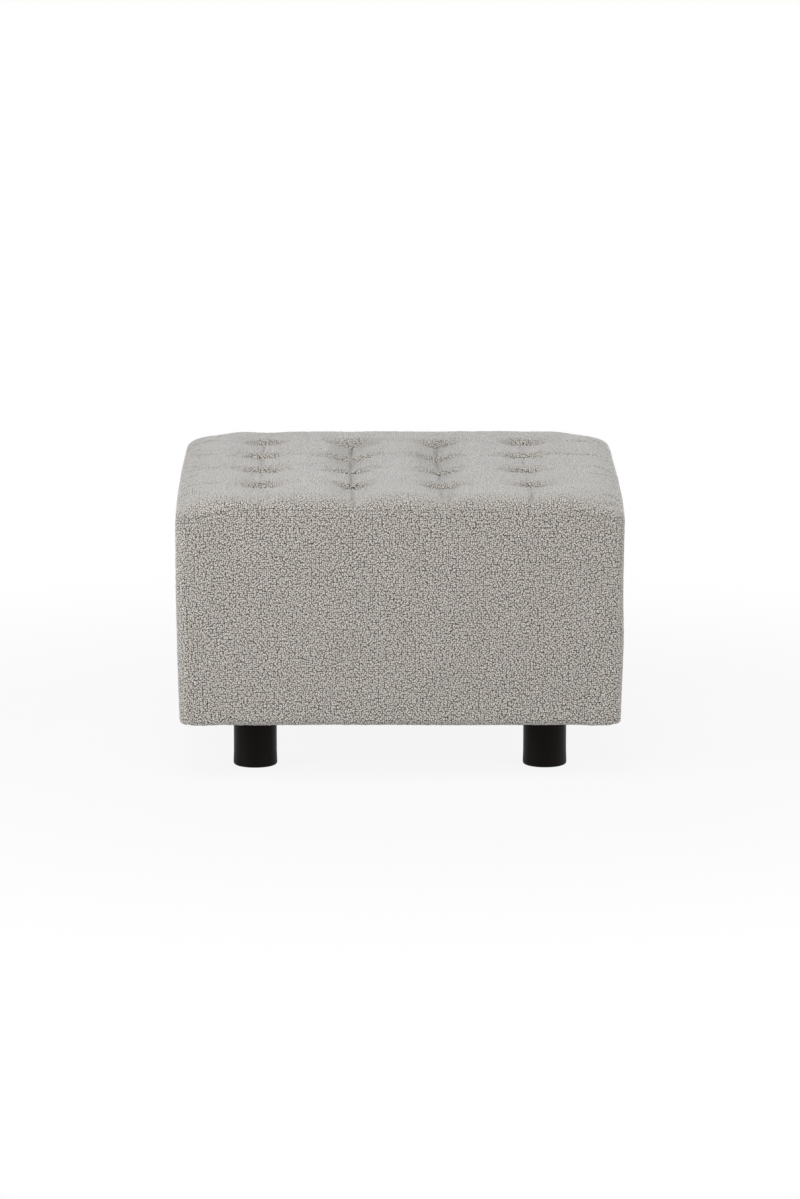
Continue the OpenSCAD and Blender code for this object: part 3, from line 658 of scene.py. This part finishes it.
liningForm = {
    "gridStep": 0.008,
    "legClear": 0.009,          # no even grid line so close to a leg's middle
    "legLines": (-0.006, 0, 0.006),     # but these
    "boltHole": 0.0043,
    "sag": 0.0022,              # in the middle of the underside
    "sagFromEdge": 0.12,        # over which it comes in, from the edge and from a leg
    "sagFromLeg": 0.1,
    "clamped": 0.002,           # strip round a leg that stays flat
    "tuckHeight": 0.0003,       # small tucks between the staples
    "tuckReach": 0.025,
    "tuckFromLeg": 0.02,
    "staples": 12,              # along each side
    "stapleWidth": 0.0095,
    "stapleLeg": 0.008,
    "stapleBend": 0.8,          # length of its bent corners, in wires
    "stapleInset": 0.008,       # from the edge of the lining
    "stapleDrift": 0.003,       # how far off its place, and how far turned, a staple may sit
    "stapleTurn": 0.15,
    "stapleBelow": 0.0006,      # from the lining to the wire
    "wire": 0.0009,
}
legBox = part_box("leg_front_right")
legX, legY = abs(legBox[0].x + legBox[1].x) / 2, abs(legBox[0].y + legBox[1].y) / 2
legRadius = (legBox[1].x - legBox[0].x) / 2


def makeLining():
    # A flat sheet that sags a little between the legs, which clamp it: smooth steps from the edge
    # and from the legs. It tucks at its edge, in a cosine along it that dies away inwards.
    form = liningForm
    low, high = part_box("bottom_lining")
    lines = []
    for half, leg in ((high.x, legX), (high.y, legY)):
        even = np.arange(-half, half + 1e-9, half / round(half / form["gridStep"]))
        even = even[np.abs(np.abs(even) - leg) > form["legClear"]]
        atLegs = [side * leg + line for side in (-1, 1) for line in form["legLines"]]
        lines.append(np.sort(np.concatenate([even, atLegs])))
    x, y = np.meshgrid(*lines)
    fromEdge = np.minimum(high.x - np.abs(x), high.y - np.abs(y))
    fromLeg = np.hypot(np.abs(x) - legX, np.abs(y) - legY) - legRadius
    free = ease(fromEdge / form["sagFromEdge"]) * ease((fromLeg - form["clamped"]) / form["sagFromLeg"])
    spacing = 2 * high.x / form["staples"]
    along = np.where(high.x - np.abs(x) < high.y - np.abs(y), y, x)
    tuck = form["tuckHeight"] * (1 + np.cos(2 * math.pi * along / spacing))
    tuck *= np.exp(-fromEdge / form["tuckReach"])
    drop = form["sag"] * free + tuck * ease(fromLeg / form["tuckFromLeg"])
    upper = np.stack([x, y, high.z - drop], 2)
    lower = np.stack([x, y, low.z - drop], 2)
    cells = [(nearest(lines[1], y), nearest(lines[0], x)) for x in (-legX, legX) for y in (-legY, legY)]
    return addBlock("bottomLining", upper, lower, cells, form["boltHole"])


def spun(x, y, angle):
    # both turned about the upright axis
    return x * math.cos(angle) - y * math.sin(angle), x * math.sin(angle) + y * math.cos(angle)


def stapleShape():
    # a square wire bent twice: its four corners at six places along it, with the crown at zero
    wire, leg, half = liningForm["wire"], liningForm["stapleLeg"], liningForm["stapleWidth"] / 2
    bend = wire * liningForm["stapleBend"]
    along = np.array([-half, -half, -half + bend, half - bend, half, half])
    up = np.array([leg, bend, 0, 0, bend, leg])
    outward = np.array([[-1, 0], [-0.7, -0.7], [0, -1], [0, -1], [0.7, -0.7], [1, 0]]) * wire / 2
    corners = [np.stack([along + k * outward[:, 0], 0 * up + side * wire / 2, up + k * outward[:, 1]], 1)
               for k, side in ((1, -1), (1, 1), (-1, 1), (-1, -1))]
    ring = np.arange(4)
    after = (ring + 1) % 4
    body = [np.stack([ring, ring + 4, after + 4, after], 1) + 4 * r for r in range(5)]
    return np.stack(corners, 1).reshape(-1, 3), np.concatenate(body + [[ring[::-1], 20 + ring]])


def makeStaples():
    # the same staple along the four sides, its crown under the lining and its legs up in the rails
    form = liningForm
    low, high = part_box("bottom_lining")
    shape, shapeFaces = stapleShape()
    points, faces = [], []
    jitter = np.random.default_rng(5)
    for side in range(4):
        reach = (high.x if side % 2 else high.y) - form["stapleInset"]
        span = (high.y if side % 2 else high.x) * 2
        for i in range(form["staples"]):
            place = (i + 0.5) / form["staples"] * span - span / 2
            place += jitter.uniform(-form["stapleDrift"], form["stapleDrift"])
            turn = jitter.uniform(-form["stapleTurn"], form["stapleTurn"])
            px, py = spun(shape[:, 0], shape[:, 1], turn)
            px, py = spun(px + place, py - reach, side * math.pi / 2)
            pz = shape[:, 2] + low.z - form["wire"] / 2 - form["stapleBelow"]
            faces.append(shapeFaces + len(shape) * len(points))
            points.append(np.stack([px, py, pz], 1))
    staples = addMesh("liningStaples", np.concatenate(points), np.concatenate(faces).tolist())
    staples.data.shade_flat()
    return staples


bottomLining = makeLining()
liningStaples = makeStaples()
print("lining made")


# Finishes

def colour(red, green, blue):
    # a screen colour from 0 to 255 as the linear one that shaders use
    screen = np.array([red, green, blue]) / 255
    linear = np.where(screen <= 0.04045, screen / 12.92, ((screen + 0.055) / 1.055) ** 2.4)
    return (*linear.tolist(), 1.0)


class Link:
    # a node's output that can be used in sums: each operator adds a Math node
    def __init__(self, tree, socket):
        self.tree, self.socket = tree, socket

    def maths(self, operation, *values):
        return self.tree.add("ShaderNodeMath", {"operation": operation}, dict(enumerate(values)))

    def __add__(self, other):
        return self.maths("ADD", self, other)

    def __sub__(self, other):
        return self.maths("SUBTRACT", self, other)

    def __rsub__(self, other):
        return self.maths("SUBTRACT", other, self)

    def __mul__(self, other):
        return self.maths("MULTIPLY", self, other)

    __radd__, __rmul__ = __add__, __mul__

    def highest(self, other):
        return self.maths("MAXIMUM", self, other)

    def clamp(self):
        return self.tree.add("ShaderNodeClamp", {}, {0: self})


class NodeTree:
    # nodes of a material or of the world, each added with its settings and its inputs
    def __init__(self, tree):
        self.nodes, self.links = tree.nodes, tree.links

    def join(self, value, socket):
        if isinstance(value, Link):
            self.links.new(value.socket, socket)
        else:
            socket.default_value = value

    def add(self, kind, settings, inputs, output=0):
        node = self.nodes.new(kind)
        for key, value in settings.items():
            if key == "stops":      # of a ramp: pairs of a place and a colour
                while len(node.color_ramp.elements) < len(value):
                    node.color_ramp.elements.new(1)
                for element, stop in zip(node.color_ramp.elements, value):
                    element.position, element.color = stop
            else:
                setattr(node, key, value)
        for key, value in inputs.items():
            self.join(value, node.inputs[key])
        return Link(self, node.outputs[output])

    def ray(self, kind):
        return self.add("ShaderNodeLightPath", {}, {}, "Is %s Ray" % kind)


class Finish(NodeTree):
    # a material with one Principled shader, whose constant values are set on its own sockets
    def __init__(self, name, place="Object", **values):
        self.material = bpy.data.materials.new(name)
        self.material.use_nodes = True
        super().__init__(self.material.node_tree)
        self.shader = self.nodes["Principled BSDF"]
        self.into(**values)
        self.place = self.add("ShaderNodeTexCoord", {}, {}, place)

    def into(self, **values):
        for key, value in values.items():
            self.join(value, self.shader.inputs[key.replace("_", " ")])
        return self.material

    def mix(self, factor, first, second):
        # colours, mixed by a number
        return self.add("ShaderNodeMix", {"data_type": "RGBA"}, {0: factor, 6: first, 7: second}, 2)

    def vector(self, operation, *values, output="Vector"):
        return self.add("ShaderNodeVectorMath", {"operation": operation}, dict(enumerate(values)), output)

    def noise(self, scale, detail=2, place=None, output="Fac", **more):
        inputs = {"Vector": place or self.place, "Scale": scale, "Detail": detail, **more}
        return self.add("ShaderNodeTexNoise", {}, inputs, output)

    def cells(self, scale, place=None, output="Distance", spread=1.0, space="3D"):
        inputs = {"Vector": place or self.place, "Scale": scale, "Randomness": spread}
        return self.add("ShaderNodeTexVoronoi", {"voronoi_dimensions": space}, inputs, output)

    def waves(self, kind, axis, scale, place=None, **more):
        settings = {"wave_type": kind, kind.lower() + "_direction": axis}
        inputs = {key.replace("_", " "): value for key, value in more.items()}
        inputs.update({"Vector": place or self.place, "Scale": scale})
        return self.add("ShaderNodeTexWave", settings, inputs, "Fac")

    def red(self, source):
        return self.add("ShaderNodeSeparateColor", {}, {0: source})

    def stretch(self, scale, shift=(0, 0, 0)):
        return self.add("ShaderNodeMapping", {}, {"Vector": self.place, "Scale": scale, "Location": shift})

    def bump(self, height, distance, strength):
        inputs = {"Height": height, "Distance": distance, "Strength": strength}
        return self.add("ShaderNodeBump", {}, inputs)

    def twoTone(self, tone):
        return self.mix(tone, *(colour(*screen) for screen in finishLook[self.material.name][:2]))

    def relief(self, height):
        return self.bump(height, *finishLook[self.material.name][2:])

    def done(self, tone, height, **values):
        return self.into(Base_Color=self.twoTone(tone), Normal=self.relief(height), **values)


coverLook = {
    "loop": colour(255, 252, 247),      # tops of the loops
    "middle": colour(169, 164, 158),
    "pitShade": colour(38, 34, 29),          # the ground between them, dark with painted shade
    "toneHeights": (0.95, 0.7, 0.36),   # how high those three tones lie; below the loop tops they carry painted shade
    "duller": colour(232, 230, 228),
    "fresher": colour(255, 253, 250),   # that tint and the one above differ from loop to loop
    "loopMottle": 0.6,                  # shares of the single loops and of large patches in that
    "patchMottle": 0.5,
    "patchScale": 26,
    "loopSize": 0.0026,
    "loopSpread": 0.75,                 # 0 puts the loops in straight rows
    "smaller": 1.7,                     # how many times smaller the small loops are
    "smallHeight": 0.85,                # and how high, where the large ones have 1
    "domeFall": 2.1,                    # how steeply a dome falls
    "yarn": 0.3,                        # height of the fibres on it
    "yarnFineness": 4,
    "warp": 0.0011,
    "warpScale": 420,
    "bump": 0.00045,
    "sheen": 1.0,
    "sheenSpread": 0.5,
}


def makeCoverCloth():
    # Bent cells of two sizes, laid out along the cloth, make the loops. Each is a dome of yarn,
    # which falls with the square of the distance from its middle; painted shade darkens the pits where
    # cells meet.
    look = coverLook
    f = Finish("loopedWool", "UV", Roughness=0.95, Sheen_Weight=look["sheen"],
               Sheen_Roughness=look["sheenSpread"], Specular_IOR_Level=0.1)
    drift = f.vector("SUBTRACT", f.noise(look["warpScale"], 2, output="Color"), (0.5, 0.5, 0.5))
    bent = f.vector("MULTIPLY_ADD", drift, (look["warp"],) * 3, f.place)
    scale, spread = 1 / look["loopSize"], look["loopSpread"]
    large = f.cells(scale, bent, spread=spread, space="2D")
    small = f.cells(look["smaller"] * scale, bent, spread=spread, space="2D")
    small = look["smallHeight"] - small * small * look["domeFall"]
    domes = (1 - large * large * look["domeFall"]).highest(small)
    height = domes + f.noise(look["yarnFineness"] * scale, 2) * look["yarn"] - look["yarn"] / 2
    # tones follow height: the yarn's own tone on top, then painted shade that deepens down into the pits
    tones = zip(look["toneHeights"][::-1], (look["pitShade"], look["middle"], look["loop"]))
    tone = f.add("ShaderNodeValToRGB", {"stops": list(tones)}, {0: height})
    shade = f.red(f.cells(scale, bent, "Color", spread, "2D"))
    middle = (look["loopMottle"] + look["patchMottle"] - 1) / 2
    mottle = shade * look["loopMottle"] + f.noise(look["patchScale"], 3) * look["patchMottle"] - middle
    tint = f.mix(mottle.clamp(), look["duller"], look["fresher"])
    return f.into(Base_Color=f.vector("MULTIPLY", tone, tint), Normal=f.bump(height, look["bump"], 1.0))


# Two screen colours of each other finish, then the depth and strength of its bump
finishLook = {
    "liningCloth": ((16, 16, 17), (44, 44, 45), 0.0003, 0.8),
    "cutFoam": ((206, 192, 150), (241, 232, 204), 0.0006, 0.9),
    "fibreFill": ((214, 214, 210), (248, 248, 246), 0.0015, 0.7),
    "birchPlywood": ((176, 143, 98), (221, 193, 148), 0.0003, 0.4),
    "planedPine": ((226, 196, 143), (189, 146, 92), 0.0003, 0.35),
    "zincSteel": ((158, 162, 166), (204, 206, 208), 0.00008, 0.4),
    "blackNylon": ((30, 30, 31), (46, 46, 47), 0.0001, 0.5),
    "tuftingTwine": ((176, 169, 150), (232, 227, 210), 0.0004, 0.9),
    "satinBlack": ((12, 6.5, 3), (14, 8.5, 5), 0.00006, 0.35),
    "gliderFelt": ((60, 58, 55), (104, 101, 97), 0.0006, 0.9),
}
woodLook = {"glueLine": colour(140, 104, 66), "pore": colour(160, 120, 76)}


def makeLiningCloth():
    # spunbonded cloth: pressed dots over tangled fibres
    f = Finish("liningCloth", Roughness=0.85, Sheen_Weight=0.2, Specular_IOR_Level=0.25)
    height = f.noise(900, 4, Distortion=1.5) * 0.6 + f.cells(520) * 0.6
    return f.done(height.clamp(), height)


def makeFoam():
    # pores of two sizes
    f = Finish("cutFoam", Roughness=0.95, Specular_IOR_Level=0.1)
    pores = f.cells(420) * 0.7 + f.cells(900) * 0.3
    return f.done((pores * 1.6).clamp(), pores)


def makeTangle(name, scale, detail, distortion, **values):
    # tangled strands, coarse in the fill and fine in felt
    f = Finish(name, Roughness=1.0, **values)
    strands = f.noise(scale, detail, Distortion=distortion)
    return f.done(strands, strands)


def makePlywood():
    # long grain over the faces, in drifts, and glue lines between veneers stacked along Z
    f = Finish("birchPlywood", Specular_IOR_Level=0.35)
    grain = f.noise(1.0, 5, f.stretch((9, 260, 260)), Distortion=0.6)
    base = f.twoTone((grain * 0.8 + f.noise(7) * 0.3 - 0.05).clamp())
    layers = f.waves("BANDS", "Z", 105, Distortion=0.4, Detail=1)
    base = f.mix((layers * 0.35 - 0.1).clamp(), base, woodLook["glueLine"])
    return f.into(Base_Color=base, Roughness=grain * 0.25 + 0.5, Normal=f.relief(grain))


def makePine():
    # year rings as bent bands across the piece, stretched along it
    f = Finish("planedPine", Roughness=0.55, Specular_IOR_Level=0.35)
    heart = f.stretch((0.6, 1, 1), (0.1, 0.13, 0.07))
    rings = f.waves("RINGS", "X", 28, heart, Distortion=5, Detail=3, Detail_Scale=1.2)
    pores = f.noise(1.0, 4, f.stretch((40, 700, 700)))
    base = f.mix(pores * 0.3, f.twoTone(rings), woodLook["pore"])
    return f.into(Base_Color=base, Normal=f.relief(rings * 0.5 + pores * 0.5))


def makeZincSteel():
    # crystals that differ in tone and gloss, under a fine grain
    f = Finish("zincSteel", Metallic=1.0)
    frost = f.red(f.cells(700, output="Color"))
    grain = f.noise(2200)
    return f.done(frost, grain, Roughness=frost * 0.14 + 0.27)


def makeNylon():
    # a fine moulded grain
    f = Finish("blackNylon", Specular_IOR_Level=0.45)
    skin = f.noise(900, 3)
    return f.done(skin, skin, Roughness=skin * 0.2 + 0.4)


def makeTwine():
    # strands that wind round an upright twine show as slanting bands
    f = Finish("tuftingTwine", Roughness=0.8, Sheen_Weight=0.2)
    bands = f.waves("BANDS", "DIAGONAL", 260, Distortion=0.3)
    return f.done(bands, bands)


def makeLegBlack():
    # moulded plastic with a fine satin grain, a little duller low down where feet touch it
    f = Finish("satinBlack", Specular_IOR_Level=0.085)
    grain, cloud = f.noise(2600), f.noise(38, 3)
    height = f.add("ShaderNodeSeparateXYZ", {}, {0: f.place}, "Z")
    low = (1 - height * 25).clamp()
    rough = cloud * 0.08 + low * 0.1 + grain * 0.05 + 0.33
    return f.done(cloud, grain, Roughness=rough)


finishes = {
    "cover_cloth": makeCoverCloth(), "lining_cloth": makeLiningCloth(), "foam": makeFoam(),
    "fibre": makeTangle("fibreFill", 160, 6, 2.5, Sheen_Weight=0.3, Specular_IOR_Level=0.1),
    "plywood": makePlywood(), "pine": makePine(), "zinc_steel": makeZincSteel(), "nylon": makeNylon(),
    "twine": makeTwine(), "leg_black": makeLegBlack(),
    "felt": makeTangle("gliderFelt", 700, 5, 2.0, Sheen_Weight=0.4),
}
print("finishes made:", len(finishes))


# What each new piece is made of and stands for


def dress(piece, slot, *nodes):
    # the finish of its slot, the root body, and the solids that it stands for hidden
    piece.data.materials.clear()
    piece.data.materials.append(finishes[slot])
    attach(piece, "root")
    if nodes:
        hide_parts(*nodes)


dress(topCover, "cover_cloth", "top_cover")
for side, cover in sideCovers.items():
    dress(cover, "cover_cloth", side + "_cover")
    side + "Pad"
dress(bottomLining, "lining_cloth", "bottom_lining")
dress(liningStaples, "zinc_steel")
dress(topPad, "fibre", "top_pad")
foams = {"foam_slab": foamSlab, **{side + "_pad": pad for side, pad in sidePads.items()}}
for node, pad in foams.items():
    dress(pad, "foam", node)

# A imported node's slot goes by the first of these parts that its name holds
slotOfPart = {
    "tuft_discs": "nylon", "tuft_toggles": "nylon", "leg_spacers": "nylon", "leg_end_caps": "nylon",
    "tuft_twines": "twine", "leg_glides": "felt", "leg_bolts": "zinc_steel", "leg_tee_nuts": "zinc_steel",
    "screws": "zinc_steel", "leg_": "leg_black", "_board": "plywood", "plate_": "plywood",
    "deck_brace": "pine", "deck": "plywood", "post_": "pine", "_rail": "pine",
}
for name, node in cadNodes.items():
    slots = [slot for part, slot in slotOfPart.items() if part in name]
    if slots:
        node.data.materials.clear()
        node.data.materials.append(finishes[slots[0]])
print("pieces dressed")


# Studio: a pale floor, soft lights above, behind and on both sides, as strong as the photo needs

studioForm = {
    "world": 0.2,           # strength of the even light from all round
    "floorSize": 40.0,
    "floorColour": (0.7, 0.7, 0.7, 1),
    "floorShow": 0.9,       # share of plain white that the camera sees of the floor near the pouf
    "plainFrom": 0.5,       # from here the share grows, and at plainAt it is all of it
    "plainAt": 1.4,
    "aim": (0, 0, 0.3),
    # Size, place and watts of each lamp
    "backLight": ((2.2, 1.6), (-0.29, 2.04, 2.75), 13),
    "topLight": ((1.8, 1.6), (-0.35, -1.31, 3.2), 37),
    "leftLight": ((0.6, 1.3), (-2.71, -1.57, 0.97), 43),
    "rightLight": ((0.4, 1.3), (2.4, -2.01, 0.97), 20),
    "sideLight": ((0.6, 1.3), (3.17, -0.11, 0.75), 20),
    "lowLight": ((2.2, 1.0), (-0.45, 3.14, 0.75), 5),
}


def makeFloor():
    # to the camera the floor is plain white, but near the pouf a share of it takes the shadow
    form = studioForm
    half = form["floorSize"] / 2
    floor = addMesh("floor", [(-half, -half, 0), (half, -half, 0), (half, half, 0), (-half, half, 0)],
                    [(0, 1, 2, 3)])
    f = Finish("paleFloor", Base_Color=form["floorColour"], Roughness=0.9, Specular_IOR_Level=0.0)
    plain = f.add("ShaderNodeEmission", {}, {})
    away = f.vector("LENGTH", f.place, output="Value")
    share = f.add("ShaderNodeMapRange", {"interpolation_type": "SMOOTHSTEP"},
                  {"Value": away, "From Min": form["plainFrom"], "From Max": form["plainAt"],
                   "To Min": form["floorShow"], "To Max": 1.0})
    share = f.ray("Camera").highest(f.ray("Glossy")) * share
    shown = f.add("ShaderNodeMixShader", {}, {0: share, 1: Link(f, f.shader.outputs[0]), 2: plain})
    f.join(shown, f.nodes["Material Output"].inputs["Surface"])
    floor.data.materials.append(f.material)


def makeWorld():
    # white to the camera and in reflections, and soft light of its own strength on the pouf
    world = bpy.data.worlds.new("studio")
    bpy.context.scene.world = world
    world.use_nodes = True
    studio = NodeTree(world.node_tree)
    background = studio.nodes["Background"]
    background.inputs["Color"].default_value = (1, 1, 1, 1)
    seen = studio.ray("Camera").highest(studio.ray("Glossy")).highest(studio.ray("Transmission"))
    studio.join(seen.highest(studioForm["world"]), background.inputs["Strength"])


def addAimed(name, data, place, aim):
    # a lamp or a camera at its place, turned to look along its aim
    thing = addObject(name, data)
    thing.location = place
    thing.rotation_euler = aim.to_track_quat("-Z", "Y").to_euler()
    return thing


def makeLight(name, size, place, watts):
    # a soft box, turned to the studio's aim
    data = bpy.data.lights.new(name, "AREA")
    data.shape = "RECTANGLE"
    data.size, data.size_y = size
    data.energy = watts
    addAimed(name, data, place, Vector(studioForm["aim"]) - Vector(place))


makeFloor()
makeWorld()
for name, value in studioForm.items():
    if name.endswith("Light"):
        makeLight(name, *value)
print("studio made")


# Camera, placed from the silhouette in the 800 by 1199 photograph

cameraForm = {
    "distance": 8.007,
    "elevation": 10.59,
    "azimuth": -0.33,           # a little to the left of the front
    "lookAt": (0.0011, 0, 0.1897),
    "focalPixels": 5818.0,
    "photoHeight": 1199,
    "sensorWidth": 36.0,
}


def makeCamera():
    # from the point it looks at, back along the direction that the two angles give
    elevation, azimuth = (math.radians(cameraForm[key]) for key in ("elevation", "azimuth"))
    back = Vector((math.sin(azimuth) * math.cos(elevation), -math.cos(azimuth) * math.cos(elevation),
                   math.sin(elevation)))
    data = bpy.data.cameras.new("photoCamera")
    data.sensor_width = cameraForm["sensorWidth"]
    data.lens = cameraForm["focalPixels"] * data.sensor_width / cameraForm["photoHeight"]
    data.clip_start, data.clip_end = 0.1, 100
    place = Vector(cameraForm["lookAt"]) + back * cameraForm["distance"]
    bpy.context.scene.camera = addAimed("photoCamera", data, place, -back)


makeCamera()
bpy.context.scene.view_settings.view_transform = "Standard"
print("camera made")
